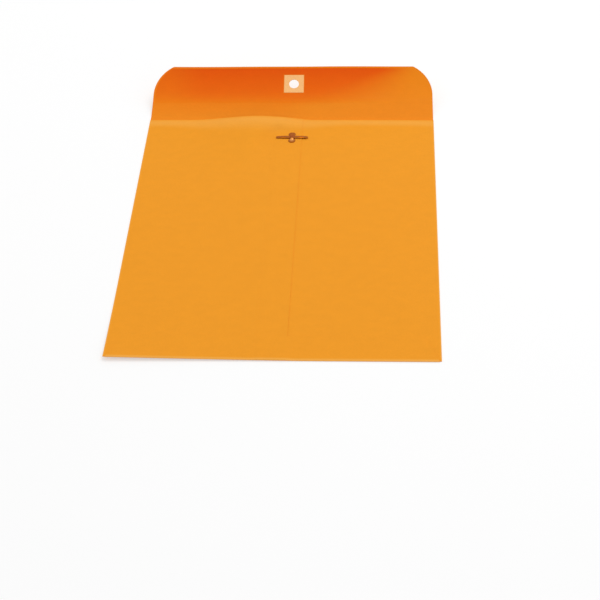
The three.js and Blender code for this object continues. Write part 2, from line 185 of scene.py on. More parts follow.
# The lift of the near left corner off the table
CORNER_LIFT = 2.4
LIFT_START_X = 20
LIFT_REACH_X = 134
LIFT_POWER_X = 1.2
LIFT_START_Y = -60
LIFT_REACH_Y = 92

# The flap's waves, which grow from the fold and leave its middle flat, and its twist
FLAP_WAVE = 0.3
FLAP_LONG_WAVE_X = 27
FLAP_LONG_WAVE_SHIFT = 0.6
FLAP_SHORT_WAVE_X = 13
FLAP_SHORT_WAVE_S = 21
FLAP_SHORT_WAVE_SHARE = 0.5
FLAP_WAVE_START = 4
FLAP_WAVE_GROWTH = 24
STILL_IN_MIDDLE = 9
MIDDLE_FADE = 20
FLAP_TWIST = 0.7
FLAP_TWIST_POWER = 1.5

# Tone values that the paper's colour follows. The inner side's starts at INSIDE, and the
# flap's adds the distance from the fold, along which painted shade deepens its colour.
INSIDE = 10
CREASE_WEAR = 0.7
CREASE_WEAR_WIDTH = 0.8

# The painted highlight below the mouth's edge, which is deeper and wider where the lip is raised
LIP_HIGHLIGHT = 0.4
LIP_HIGHLIGHT_WIDER = 1.6
LIP_HIGHLIGHT_DEPTH = 4
LIP_HIGHLIGHT_DEPTH_RAISED = 1.5
LIP_HIGHLIGHT_ABOVE = 1.6
LIP_HIGHLIGHT_BELOW = 8
LIP_HIGHLIGHT_BELOW_RAISED = 12

# Where the flap's painted shade fades at the right end and, a little, at the left end
FADE_FROM_FOLD = 11
FADE_SHIFT = 85
FADE_START_X = -15
FADE_START_REACH = 34
FADE_START_POWER = 1.2
FADE_END_X = 20
FADE_END_REACH = 7
LEFT_FADE = 0.22
LEFT_FADE_X = -70
LEFT_FADE_REACH = 36

# Steps of the paper's meshes
BACK_COLUMN_STEP = 3
BACK_ROW_STEP = 5
RISE_ROW_STEP = 3
LIP_ROW_STEP = 1
BESIDE_LAP = 14
LAP_COLUMNS = [-BESIDE_LAP, -CLIMB_FOOT, -11.5, -HALF_LAP, -8, -4, 0, 4, 8, 9.4, HALF_LAP]
WIDE_COLUMN_STEP = 4
CLIMB_COLUMN_STEP = 1.5
BOTTOM_ROW_STEP = 2
BOTTOM_CORNER_STEP = 0.5
CREASE_POINTS = 7
FRONT_ROW_STEP = 12
NEAR_FOLD = [-4, -2, -1, -0.5, -0.1, 0]
BRIDGE_POINTS = 9
FLAP_COLUMN_STEP = 3
FLAP_ROW_STEP = 2
FLAP_ROWS_APART = 0.25
FLAP_CORNER_POINTS = 18
SEAM_GLUE_COLUMN_STEP = 2.5
SEAM_GLUE_ROW_STEP = 6
BOTTOM_GLUE_ROW_STEP = 3

# Steps of the clasp's meshes
BOSS_STEP = 0.2
BOSS_ROWS_END = 3.8
LOBE_TURNS = np.linspace(-0.9, 1, 12)
BEND_STEP = 0.08
KNUCKLE_TURNS = np.linspace(-np.pi / 2, np.pi / 2, 15)[:-2]
AFTER_KNUCKLE = [0.5, 1]
BEAD_STEP = 0.35
TIP_POINTS = 10

# How far apart the fibres' pattern lies on a sheet's two sides
BACK_OF_SHEET = 50

# Edges with a larger angle than this stay sharp
SHARP_ANGLE = math.radians(40)

# Lengths that count as nothing, the first in millimetres and the second in metres
TOLERANCE = 1e-6
SAME_PLACE = 1e-8

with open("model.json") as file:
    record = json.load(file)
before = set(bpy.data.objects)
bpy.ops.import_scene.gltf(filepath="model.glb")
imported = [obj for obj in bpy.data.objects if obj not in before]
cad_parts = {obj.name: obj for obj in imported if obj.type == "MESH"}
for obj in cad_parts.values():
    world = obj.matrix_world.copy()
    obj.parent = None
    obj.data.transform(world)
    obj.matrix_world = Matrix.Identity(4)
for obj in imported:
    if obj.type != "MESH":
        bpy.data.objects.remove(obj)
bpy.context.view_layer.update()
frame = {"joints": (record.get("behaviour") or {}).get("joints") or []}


def joint_place(name):
    return Vector(next(j for j in frame["joints"] if j["name"] == name)["pos_m"]) / MM


fold_axis = joint_place("flap_fold")
prong_axes = {-1: joint_place("left_prong_bend"), 1: joint_place("right_prong_bend")}
CLASP_X = (prong_axes[-1].x + prong_axes[1].x) / 2
CLASP_Y = prong_axes[1].y
EYELET_X = sum(corner.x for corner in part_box("eyelet_patch")) / 2 / MM


def bell(distance):
    """One at the middle, falling smoothly to nothing at a distance of one."""
    return np.where(np.abs(distance) < 1, np.cos(np.pi / 2 * np.clip(distance, -1, 1)) ** 2, 0)


def ease(value):
    """Nothing up to zero, one from one on, and smooth between."""
    t = np.clip(value, 0, 1)
    return t * t * (3 - 2 * t)


def body_wave(x, y):
    """How far the back's paper stands off its even curve. Nothing at the creases, seam and ends."""
    off_seam = ease((np.abs(x) - STILL_BY_SEAM) / SEAM_FADE)
    off_side = ease((SIDE_CREASE_X - np.abs(x)) / SIDE_FADE)
    off_bottom = ease((y - PANEL_BOTTOM_Y - STILL_BY_BOTTOM) / BOTTOM_FADE)
    off_ends = off_bottom * ease((MOUTH_Y - y) / MOUTH_FADE)
    long_wave = np.sin(x / LONG_WAVE_X + y / LONG_WAVE_Y)
    short_wave = np.sin(x / SHORT_WAVE_X - y / SHORT_WAVE_Y + SHORT_WAVE_SHIFT)
    waves = long_wave + SHORT_WAVE_SHARE * short_wave
    return BODY_WAVE * off_seam * off_side * off_ends * waves


def corner_lift(x, y):
    """How far the whole envelope stands off the table towards its near left corner."""
    to_left = np.clip((LIFT_START_X - x) / LIFT_REACH_X, 0, 1)
    to_bottom = np.clip((LIFT_START_Y - y) / LIFT_REACH_Y, 0, 1)
    return CORNER_LIFT * to_left**LIFT_POWER_X * to_bottom**2


def swell(x, wider=1):
    """How far the lip is raised along the mouth, with a longer slope on the left."""
    reach = np.where(x < GAPE_X, GAPE_REACH_LEFT, GAPE_REACH_RIGHT)
    return bell((x - GAPE_X) / reach / wider)


def inner_face(x, y):
    """Height of the back's inner face over the table, before the corner's lift."""
    depth = np.maximum(0, MOUTH_Y - y)
    across = 1 - np.minimum(1, np.abs(x) / SIDE_CREASE_X) ** 4
    slack = SLACK * (1 - (depth / (MOUTH_Y - PANEL_BOTTOM_Y)) ** 4)
    rolled = np.maximum(0, 1 - depth / LIP_ROLL_DEPTH) ** 2
    seam_to_left = ease((GAPE_SEAM_X - x) / (GAPE_SEAM_X - GAPE_DEEP_X))
    reach = GAPE_DEPTH_SEAM + (GAPE_DEPTH_LEFT - GAPE_DEPTH_SEAM) * seam_to_left - LIP_ROLL_DEPTH
    rise = swell(x) * bell(np.maximum(0, depth - LIP_ROLL_DEPTH) / reach)
    lip = rise * (GAPE - GAPE_ROLL * rolled)
    return PITCH + across * (slack - LIP_ROLL * rolled) + lip + body_wave(x, y)


def lap_rise(x):
    """How far the seam's upper ply has climbed over the lower one."""
    return PITCH * np.clip(1 - np.maximum(0, np.abs(x) - HALF_LAP) / LAP_CLIMB, 0, 1)


def steps(start, end, length):
    """Values from start to end in equal steps, none longer than length."""
    return np.linspace(start, end, max(2, int(math.ceil(abs(end - start) / length)) + 1))


def quarter_turn(points):
    """Angles from nothing to a right angle."""
    return np.linspace(0, np.pi / 2, points)


def joined(*parts):
    """All the values in order, each one once."""
    return np.unique(np.round(np.concatenate(parts), 6))


def across_seam(half):
    """Columns from -half to half, which are closer where the paper climbs over the lap."""
    left_side = steps(-half, -BESIDE_LAP, WIDE_COLUMN_STEP)
    climb = steps(-CLIMB_FOOT, CLIMB_FOOT, CLIMB_COLUMN_STEP)
    right_side = steps(BESIDE_LAP, half, WIDE_COLUMN_STEP)
    return joined(left_side, climb, right_side)


def grid(columns, rows, skip=None):
    """Places (column, row) on a grid and its quads, without those whose middle skip() names."""
    places = np.array([(c, r) for c in columns for r in rows], float)
    quads = []
    n = len(rows)
    for i in range(len(columns) - 1):
        for j in range(n - 1):
            middle = ((columns[i] + columns[i + 1]) / 2, (rows[j] + rows[j + 1]) / 2)
            if skip is None or not skip(*middle):
                a = i * n + j
                quads.append((a, a + n, a + n + 1, a + 1))
    return places, quads


def round_off(places, quads, centre, half, radius, rings=5):
    """Fills a grid's square window with rings that close in on a round hole."""
    rim = [
        k
        for k, (x, y) in enumerate(places)
        if abs(max(abs(x - centre[0]), abs(y - centre[1])) - half) < TOLERANCE
    ]
    angles = {k: math.atan2(places[k][1] - centre[1], places[k][0] - centre[0]) for k in rim}
    rim.sort(key=angles.get)
    rows = [rim]
    added = []
    for ring in range(1, rings + 1):
        share = ring / rings
        row = []
        for k in rim:
            goal = np.array(centre) + radius * np.array([math.cos(angles[k]), math.sin(angles[k])])
            row.append(len(places) + len(added))
            added.append(places[k] * (1 - share) + goal * share)
        rows.append(row)
    count = len(rim)
    for outer, inner in zip(rows, rows[1:]):
        for k in range(count):
            after = (k + 1) % count
            quads.append((outer[k], outer[after], inner[after], inner[k]))
    return np.vstack([places, added]), quads


def thin_solid(name, places, quads, put, low, high, tones=None):
    """A closed sheet between two faces. put(x, y, n) gives the points of a face, and n is low
    for the one face and high for the other. tones(x, y, upper) gives, for each point, named
    values that the material's colour follows."""
    x, y = places[:, 0], places[:, 1]
    n = len(places)
    edges = {(a, b) for q in quads for a, b in zip(q, q[1:] + q[:1])}
    faces = [tuple(k + n for k in q) for q in quads]
    faces += [(a, d, c, b) for a, b, c, d in quads]
    faces += [(a, b, b + n, a + n) for a, b in sorted(edges) if (b, a) not in edges]
    mesh = bpy.data.meshes.new(name)
    mesh.from_pydata((np.vstack([put(x, y, low), put(x, y, high)]) * MM).tolist(), [], faces)
    if tones is not None:
        lower, upper = tones(x, y, False), tones(x, y, True)
        for key in lower:
            layer = mesh.attributes.new(key, "FLOAT", "POINT")
            layer.data.foreach_set("value", np.concatenate([lower[key], upper[key]]))
    layer = mesh.attributes.new("sheet", "FLOAT_VECTOR", "POINT")
    sides = np.repeat([0, BACK_OF_SHEET], n)
    layer.data.foreach_set("vector", np.stack([*np.tile([x, y], 2), sides], 1).ravel())
    work = bmesh.new()
    work.from_mesh(mesh)
    bmesh.ops.delete(work, geom=[v for v in work.verts if not v.link_faces], context="VERTS")
    bmesh.ops.remove_doubles(work, verts=work.verts, dist=SAME_PLACE)
    work.to_mesh(mesh)
    work.free()
    mesh.polygons.foreach_set("use_smooth", [True] * len(mesh.polygons))
    mesh.set_sharp_from_angle(angle=SHARP_ANGLE)
    obj = bpy.data.objects.new(name, mesh)
    bpy.context.scene.collection.objects.link(obj)
    return obj


# The back of the pocket


slit_half_width = TANG_WIDTH / 2 + SLIT_CLEARANCE
slit_edges_x = CLASP_X + slit_half_width * BOTH_SIDES
slit_half_depth = METAL / 2 + SLIT_CLEARANCE
slit_ys = CLASP_Y + (BASE_LENGTH / 2 - METAL / 2) * BOTH_SIDES
slit_edges_y = np.add.outer(slit_ys, slit_half_depth * BOTH_SIDES).ravel()


def in_slit(x, y):
    """The clasp's two tangs go through slits in the seam."""
    return abs(x - CLASP_X) < slit_half_width and np.any(abs(y - slit_ys) < slit_half_depth)


def crease_wear(distance):
    """A crease's rubbed fibres, which fade away from it."""
    return CREASE_WEAR * ease(1 - distance / CREASE_WEAR_WIDTH)


def painted_lip_highlight(x, y):
    """A painted highlight in a band below the mouth's edge."""
    raised = swell(x, wider=LIP_HIGHLIGHT_WIDER)
    depth = MOUTH_Y - y
    middle = LIP_HIGHLIGHT_DEPTH + LIP_HIGHLIGHT_DEPTH_RAISED * raised
    above = LIP_HIGHLIGHT_ABOVE * middle
    below = LIP_HIGHLIGHT_BELOW + LIP_HIGHLIGHT_BELOW_RAISED * raised
    return LIP_HIGHLIGHT * bell((depth - middle) / np.where(depth < middle, above, below))


def back_panel(name, side):
    """One half of the back. Its columns run from the side crease's round edge to the seam."""
    nose = SIDE_CREASE_X + SIDE_CREASE_RADIUS * np.cos(quarter_turn(CREASE_POINTS))
    start = -SIDE_CREASE_X + RUNNING_GAP
    by_crease = start + np.array([0, CREASE_WEAR_WIDTH / 2, CREASE_WEAR_WIDTH])
    plain = steps(start + CREASE_WEAR_WIDTH, -BESIDE_LAP, BACK_COLUMN_STEP)
    panel = joined(by_crease, plain, LAP_COLUMNS, side * -1 * slit_edges_x)
    xs = np.concatenate([-nose, panel])
    if side > 0:
        xs = -xs[::-1]
    deep = MOUTH_Y - GAPE_DEPTH_LEFT
    near = MOUTH_Y - GAPE_DEPTH_SEAM
    below = joined(steps(PANEL_BOTTOM_Y, deep, BACK_ROW_STEP), steps(deep, near, RISE_ROW_STEP))
    rows = joined(below, steps(near, MOUTH_Y, LIP_ROW_STEP), slit_edges_y)

    def put(x, y, n):
        reach = np.clip((np.abs(x) - SIDE_CREASE_X) / SIDE_CREASE_RADIUS, 0, 1)
        half = SIDE_CREASE_RADIUS * np.sqrt(1 - reach**2)
        rise = lap_rise(x) if side < 0 else 0 * x
        ply = inner_face(x, y) + rise + PAPER * n
        edge = SIDE_CREASE_RADIUS + half * (2 * n - 1)
        z = np.where(np.abs(x) > SIDE_CREASE_X - TOLERANCE, edge, ply)
        return np.stack([x, y, z + corner_lift(x, y)], 1)

    def tones(x, y, upper):
        # The painted highlight below the mouth, and the creases' wear
        wear_and_highlight = np.maximum(painted_lip_highlight(x, y), crease_wear(SIDE_CREASE_X - np.abs(x)))
        return sides_of_paper(upper, wear_and_highlight)

    return thin_solid(name, *grid(xs, rows, in_slit), put, 0, 1, tones)


def sides_of_paper(upper, wear_and_highlight):
    """The back's and the bottom flap's outer side is their upper one."""
    return {"along": 0 * wear_and_highlight + (0 if upper else INSIDE), "fade": 0 * wear_and_highlight, "wear_and_highlight": wear_and_highlight}


def bottom_flap():
    """The flap that folds up from the bottom edge and over both back panels."""
    nose = BOTTOM_CREASE_Y - BOTTOM_CREASE_DEPTH * np.cos(quarter_turn(CREASE_POINTS))
    top = -HEIGHT / 2 + BOTTOM_FLAP_HEIGHT
    corner = top - BOTTOM_FLAP_CORNER
    straight = steps(BOTTOM_CREASE_Y + RUNNING_GAP, corner, BOTTOM_ROW_STEP)
    rows = np.concatenate([nose, joined(straight, steps(corner, top, BOTTOM_CORNER_STEP))])
    half = WIDTH / 2 - BOTTOM_FLAP_INSET

    def put(column, y, n):
        up = np.clip((y + HEIGHT / 2) / BOTTOM_FLAP_HEIGHT, 0, 1)
        past = np.clip((y - corner) / BOTTOM_FLAP_CORNER, 0, 1)
        drop = BOTTOM_FLAP_CORNER * (1 - np.sqrt(1 - (BOTTOM_CORNER_SHARE * past) ** 2))
        x = column * (half - BOTTOM_FLAP_TAPER * up - drop) / half
        stack = inner_face(x, np.maximum(y, PANEL_BOTTOM_Y)) + lap_rise(x) + PAPER
        reach = np.clip((BOTTOM_CREASE_Y - y) / BOTTOM_CREASE_DEPTH, 0, 1)
        mid = (stack + PITCH) / 2
        edge = mid + mid * np.sqrt(1 - reach**2) * (2 * n - 1)
        z = np.where(y < BOTTOM_CREASE_Y + TOLERANCE, edge, stack + PLY_GAP + PAPER * n)
        return np.stack([x, y, z + corner_lift(x, y)], 1)

    def tones(x, y, upper):
        return sides_of_paper(upper, crease_wear(y - BOTTOM_CREASE_Y))

    return thin_solid("bottom_fold", *grid(across_seam(half), rows), put, 0, 1, tones)


def glue_line(name, columns, rows, under):
    """A dried film of paste that lies GLUE_GAP over the paper under it."""

    def put(x, y, n):
        return np.stack([x, y, under(x, y) + GLUE_GAP + GLUE_FILM * n + corner_lift(x, y)], 1)

    return thin_solid(name, *grid(columns, rows, in_slit), put, 0, 1)


# The front panel and the closing flap, which are one sheet


def about_fold(y, z, turn):
    c, s = math.cos(turn), math.sin(turn)
    return fold_axis.y + y * c - z * s, fold_axis.z + y * s + z * c


BASE_Y, BASE_Z = about_fold(FOLD_CLEARANCE, -fold_axis.z, BASE_ANGLE)
EYELET_S = EYELET_FROM_FOLD - (BASE_Y - FOLD_Y)
BRIDGE = math.hypot(BASE_Y - FOLD_Y, BASE_Z)


def flap_half_width(s):
    past = np.clip(s - CORNER_START, 0, None)
    drop = CORNER_RADIUS - np.sqrt(CORNER_RADIUS**2 - past**2)
    return FLAP_ROOT_HALF_WIDTH - FLAP_SIDE_TAPER * s / FLAP_LENGTH - drop


def flap_x(column, s, inset=0):
    """Columns keep their place near the eyelet and close in with the outline further out."""
    keep = FLAP_KEPT_HALF_WIDTH
    stretch = (flap_half_width(np.maximum(s, 0)) - inset - keep) / (FLAP_ROOT_HALF_WIDTH - keep)
    beyond = np.maximum(0, np.abs(column) - keep)
    return np.sign(column) * (np.minimum(np.abs(column), keep) + beyond * stretch)


def flap_wave(x, s):
    """How far the flap's paper stands off its even curl."""
    growing = ease((s - FLAP_WAVE_START) / FLAP_WAVE_GROWTH)
    long_wave = np.sin(x / FLAP_LONG_WAVE_X + FLAP_LONG_WAVE_SHIFT)
    short_wave = np.sin(x / FLAP_SHORT_WAVE_X - s / FLAP_SHORT_WAVE_S)
    waves = long_wave + FLAP_SHORT_WAVE_SHARE * short_wave
    off_middle = ease((np.abs(x) - STILL_IN_MIDDLE) / MIDDLE_FADE)
    outwards = (np.maximum(0, s) / FLAP_LENGTH) ** FLAP_TWIST_POWER
    twist = FLAP_TWIST * x / FLAP_ROOT_HALF_WIDTH * outwards
    return FLAP_WAVE * growing * waves * off_middle + twist


def on_flap(x, s, n):
    angle = BASE_ANGLE + s / CURL_RADIUS
    reach = CURL_RADIUS - n - flap_wave(x, s)
    y = BASE_Y + reach * np.sin(angle) - CURL_RADIUS * math.sin(BASE_ANGLE)
    z = BASE_Z - reach * np.cos(angle) + CURL_RADIUS * math.cos(BASE_ANGLE)
    return np.stack([x, y, z], 1)


def sheet_point(column, s, n):
    """Along the blank's front: s is negative on the panel, and the flap starts at BRIDGE."""
    panel_x = column * FRONT_HALF_WIDTH / FLAP_ROOT_HALF_WIDTH
    on_panel = np.stack([panel_x, FOLD_Y + s, n + corner_lift(panel_x, FOLD_Y + s)], 1)
    t = np.clip(s / BRIDGE, 0, 1)
    rise = 2 * BASE_Z * t / (BASE_Y - FOLD_Y)
    lean = np.hypot(1, rise)
    half = FRONT_HALF_WIDTH + (FLAP_ROOT_HALF_WIDTH - FRONT_HALF_WIDTH) * t
    on_bridge = np.stack(
        [
            column * half / FLAP_ROOT_HALF_WIDTH,
            FOLD_Y + (BASE_Y - FOLD_Y) * t - n * rise / lean,
            BASE_Z * t**2 + n / lean,
        ],
        1,
    )
    on_curl = on_flap(flap_x(column, s - BRIDGE), s - BRIDGE, n)
    along = s[:, None]
    return np.where(along <= 0, on_panel, np.where(along < BRIDGE - TOLERANCE, on_bridge, on_curl))


middle_columns = np.array([-PATCH_HALF, -6, -4, -2, 0, 2, 4, 6, PATCH_HALF])
side_columns = steps(FLAP_KEPT_HALF_WIDTH, FLAP_ROOT_HALF_WIDTH, FLAP_COLUMN_STEP)
window_sides = EYELET_X + GUM_WINDOW_HALF * BOTH_SIDES
outer_columns = joined(-side_columns, window_sides, side_columns)
patch_columns = EYELET_X + middle_columns
flap_columns = joined(outer_columns, patch_columns)


def flap_rows(first, last):
    """Rows along the flap, which are closer by the patch and around the outer corners."""
    window = EYELET_S + GUM_WINDOW_HALF * BOTH_SIDES
    patch_rows = EYELET_S + middle_columns
    corner = CORNER_START + (last - CORNER_START) * np.sin(quarter_turn(FLAP_CORNER_POINTS))
    rows = joined(steps(first, last, FLAP_ROW_STEP), patch_rows, window, corner)
    kept = []
    for row in rows[(rows >= first) & (rows <= last)]:
        fixed = np.min(np.abs(np.concatenate([patch_rows, window]) - row)) < TOLERANCE
        if kept and row - kept[-1] < FLAP_ROWS_APART and not fixed and row != last:
            continue
        kept.append(row)
    return np.array(kept)


def flap_tones(column, s, upper):
    """The inner side's painted shade deepens along the flap. It fades towards the right end, at
    first near the fold and further out along the flap, and a little at the left end."""
    x = flap_x(column, s)
    beyond = s - FADE_FROM_FOLD
    moved = FADE_SHIFT * np.clip(beyond / FADE_START_REACH, 0, 1) ** FADE_START_POWER
    start = FADE_START_X + moved
    end = FADE_END_X + FADE_SHIFT * ease(beyond / FADE_END_REACH)
    left_fade = LEFT_FADE * ease((LEFT_FADE_X - x) / LEFT_FADE_REACH)
    fade = ease((x - start) / (end - start)) + left_fade
    wear_and_highlight = crease_wear(np.abs(s + BRIDGE / 2) - BRIDGE / 2)
    if upper:
        return {"along": INSIDE + np.maximum(0, s), "fade": fade, "wear_and_highlight": 0 * s}
    return {"along": 0 * s, "fade": 0 * s, "wear_and_highlight": wear_and_highlight}


def in_square(half):
    return lambda x, s: abs(x - EYELET_X) < half and abs(s - EYELET_S) < half


def blank():
    """The sheet from the front panel's bottom to the closing flap's tip."""
    panel = steps(PANEL_BOTTOM_Y - FOLD_Y, NEAR_FOLD[0], FRONT_ROW_STEP)
    bridge = np.linspace(0, BRIDGE, BRIDGE_POINTS)[1:]
    flap = flap_rows(0, FLAP_LENGTH)[1:] + BRIDGE
    rows = np.concatenate([panel, NEAR_FOLD[1:], bridge, flap])

    def skip(column, s):
        return in_square(PATCH_HALF)(column, s - BRIDGE)

    def tones(column, s, upper):
        return flap_tones(column, s - BRIDGE, upper)

    places, quads = grid(flap_columns, rows, skip)
    centre = (EYELET_X, EYELET_S + BRIDGE)
    places, quads = round_off(places, quads, centre, PATCH_HALF, EYELET_RADIUS)
    return thin_solid("blank_front", places, quads, sheet_point, 0, PAPER, tones)


def gum():
    """The film of gum, with a square window around the patch."""
    rows = flap_rows(GUM_START, FLAP_LENGTH - GUM_MARGIN)
    places, quads = grid(outer_columns, rows, in_square(GUM_WINDOW_HALF))
    low = PAPER + SKIN_GAP

    def put(column, s, n):
        short_wave = np.sin(column / GUM_SHORT_WAVE + GUM_SHORT_WAVE_SHIFT)
        uneven = np.sin(column / GUM_LONG_WAVE) + short_wave
        edge = GUM_UNEVEN * uneven * bell((s - GUM_START) / GUM_UNEVEN_REACH)
        share = np.clip(GUM_THIN_SHARE + (s - GUM_START) / GUM_THIN_REACH, 0, 1)
        return on_flap(flap_x(column, s, GUM_MARGIN), s + edge, low + (n - low) * share)

    def tones(column, s, upper):
        return flap_tones(column, s, True)

    return thin_solid("gum_film", places, quads, put, low, low + GUM_THICKNESS, tones)


def patch():
    """The square of paper around the hole, made of rings alone."""
    rows = EYELET_S + middle_columns
    places, quads = grid(patch_columns, rows, lambda x, s: True)
    places, quads = round_off(places, quads, (EYELET_X, EYELET_S), PATCH_HALF, EYELET_RADIUS)
    low = PAPER + SKIN_GAP
    return thin_solid("hole_patch", places, quads, on_flap, low, low + PATCH_THICKNESS)


# The clasp: a stamped strip whose ends go down through the paper, and its two prongs


PLATE_TOP = prong_axes[1].z - KNUCKLE_RADIUS - RUNNING_GAP
FOOT_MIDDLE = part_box("clasp_base")[0].z / MM + METAL / 2
LOBE_Y = BASE_LENGTH / 2 - LOBE_RADIUS
FLAT_LENGTH = BASE_LENGTH / 2 - METAL / 2 - TANG_BEND
BEND_LENGTH = TANG_BEND * math.pi / 2
TANG_DROP = PLATE_TOP - METAL / 2 - FOOT_MIDDLE - 2 * TANG_BEND
FOOT_LENGTH = TANG_FOOT - METAL / 2 - TANG_BEND
BEND_END = FLAT_LENGTH + BEND_LENGTH
CLINCH_START = BEND_END + TANG_DROP
half_columns = np.array([0, 0.15, 0.3, 0.5, 0.7, EDGE_START, 0.95, 0.98, 1])
rounded_columns = joined(-half_columns, half_columns)


def edge_thickness(column):
    """The share of the metal's thickness, which runs out round towards both edges."""
    return np.sqrt(1 - np.clip((np.abs(column) - EDGE_START) / EDGE_WIDTH, 0, 1) ** 2)


def strip_half_width(s):
    lobe = np.sqrt(np.maximum(0, LOBE_RADIUS**2 - (s - LOBE_Y) ** 2))
    plate = np.where(s < LOBE_Y, np.maximum(WAIST_WIDTH / 2, lobe), lobe)
    return np.maximum(TANG_WIDTH / 2, plate)


def boss(x, y):
    """The pressed bump in the plate's middle."""
    reach = np.hypot(x / BOSS_WIDTH, y / BOSS_LENGTH) * 2
    return (BOSS_HEIGHT - METAL / 2) * ease(BOSS_STEEPNESS * (1 - reach / BOSS_SPREAD))


def strip_point(column, along, n):
    """along runs from one foot over the plate to the other foot, and is zero in the middle."""
    s = np.abs(along)
    first = np.clip((s - FLAT_LENGTH) / BEND_LENGTH, 0, 1) * np.pi / 2
    second = np.clip((s - CLINCH_START) / BEND_LENGTH, 0, 1) * np.pi / 2
    foot = np.maximum(0, s - CLINCH_START - BEND_LENGTH)
    y = np.minimum(s, FLAT_LENGTH) + TANG_BEND * (np.sin(first) + np.cos(second) - 1) - foot
    straight = np.clip(s - BEND_END, 0, TANG_DROP)
    drop = TANG_BEND * (1 - np.cos(first) + np.sin(second)) + straight
    off = METAL * (n - 0.5) * edge_thickness(column)
    x = column * strip_half_width(s)
    z = PLATE_TOP - METAL / 2 - drop + boss(x, along)
    y = np.sign(along) * (y + off * np.sin(first + second))
    return np.stack([CLASP_X + x, CLASP_Y + y, z + off * np.cos(first + second)], 1)


def painted_boss_highlight(column, along, upper):
    """A painted highlight on the plating, between the boss's near slope and the near lobe."""
    x = column * strip_half_width(np.abs(along))
    reach = np.hypot(x / HIGHLIGHT_WIDTH, (along - HIGHLIGHT_Y) / HIGHLIGHT_LENGTH) * 2
    return {"wear_and_highlight": upper * bell(reach)}


def clasp_strip():
    """The plate with its lobes and boss, and a tang with a clinched foot at each end."""
    lobe = LOBE_Y + LOBE_RADIUS * np.sin(LOBE_TURNS)
    clinch_end = CLINCH_START + BEND_LENGTH
    bend = steps(FLAT_LENGTH, BEND_END, BEND_STEP)
    clinch = steps(CLINCH_START, clinch_end, BEND_STEP)
    middle = steps(0, BOSS_ROWS_END, BOSS_STEP)
    half = joined(middle, lobe[lobe < FLAT_LENGTH], joined(bend, clinch))
    half = np.append(half, clinch_end + FOOT_LENGTH)
    rows = joined(-half, half)
    return thin_solid("clasp_strip", *grid(rounded_columns, rows), strip_point, 0, 1, painted_boss_highlight)


def prong(name, side):
    """A prong as it lies at rest, from its rolled root to its round tip, with a pressed bead."""
    axis = prong_axes[side]
    tip_radius = PRONG_TIP_WIDTH / 2
    tip_start = PRONG_LENGTH - tip_radius
    root = KNUCKLE_RADIUS * np.sin(KNUCKLE_TURNS)
    bead_rows = steps(BEAD_START, BEAD_START + BEAD_LENGTH, BEAD_STEP)
    tip_rows = tip_start + tip_radius * np.sin(quarter_turn(TIP_POINTS))
    rows = joined(root, AFTER_KNUCKLE, bead_rows, tip_rows)

    def put(column, along, n):
        straight = np.clip(along / tip_start, 0, 1)
        width = PRONG_ROOT_WIDTH + (PRONG_TIP_WIDTH - PRONG_ROOT_WIDTH) * straight
        past = np.clip((along - tip_start) / tip_radius, 0, 1)
        y = -column * width / 2 * np.sqrt(1 - past**2)
        reach = (along - BEAD_START) / BEAD_LENGTH * 2 - 1
        bead = BEAD_HEIGHT * np.sqrt(bell(reach)) * bell(y / BEAD_WIDTH * 2)
        knuckle = np.sqrt(np.maximum(0, KNUCKLE_RADIUS**2 - along**2))
        half = np.maximum(knuckle, np.where(along > 0, METAL / 2, 0))
        half = half * edge_thickness(column) * edge_thickness(past)
        z = bead - PRONG_DROOP * along / PRONG_LENGTH + half * (2 * n - 1)
        return np.stack([axis.x + side * along, axis.y + side * y, axis.z + z], 1)

    return thin_solid(name, *grid(rounded_columns, rows), put, 0, 1)


# Materials


def linear(red, green, blue):
    """Blender's own values for a colour that is given as on a screen, from 0 to 255."""

    def one(value):
        value /= 255
        return value / 12.92 if value <= 0.04045 else ((value + 0.055) / 1.055) ** 2.4

    return (one(red), one(green), one(blue), 1)


# Colours. A colour that changes along the paper is a list of tone values and their colours.
WHITE = (1, 1, 1, 1)
FLOOR_WHITE = (0.98, 0.98, 0.98, 1)
KRAFT = linear(240, 154, 31)
KRAFT_WEAR_AND_HIGHLIGHT = linear(248, 194, 104)
KRAFT_INSIDE_SHADED = linear(240, 137, 20)
MANILA = linear(255, 199, 134)
MANILA_FLECK = linear(248, 184, 114)
STEEL_DARK = linear(152, 78, 8)
STEEL_BRIGHT = linear(170, 92, 18)
STEEL_PAINTED_HIGHLIGHT = linear(224, 156, 84)
PASTE_THIN = linear(236, 206, 150)
PASTE_THICK = linear(230, 222, 200)
# The inner side's colours, which painted shade darkens along the flap
INSIDE_SHADE_STOPS = [(0, KRAFT), (INSIDE, KRAFT_INSIDE_SHADED), (INSIDE + GUM_START, linear(240, 128, 10))]
# The gum's own deeper colour, darkened further towards the tip by painted shade
GUM_AND_SHADE_STOPS = [
    (INSIDE + GUM_START, linear(239, 124, 6)),
    (INSIDE + 20, linear(237, 112, 4)),
    (INSIDE + 25, linear(236, 104, 2)),
    (INSIDE + 30, linear(236, 100, 2)),
    (INSIDE + 35, linear(235, 97, 2)),
    (INSIDE + 46, linear(232, 88, 2)),
]

# Gloss. A pair is the roughness at a pattern's low and high values.
PAPER_SPECULAR = 0.15
GUM_SPECULAR = 0.07
STEEL_SPECULAR = 0.5
GUM_ROUGHNESS = (0.4, 0.6)
STEEL_ROUGHNESS = (0.24, 0.38)

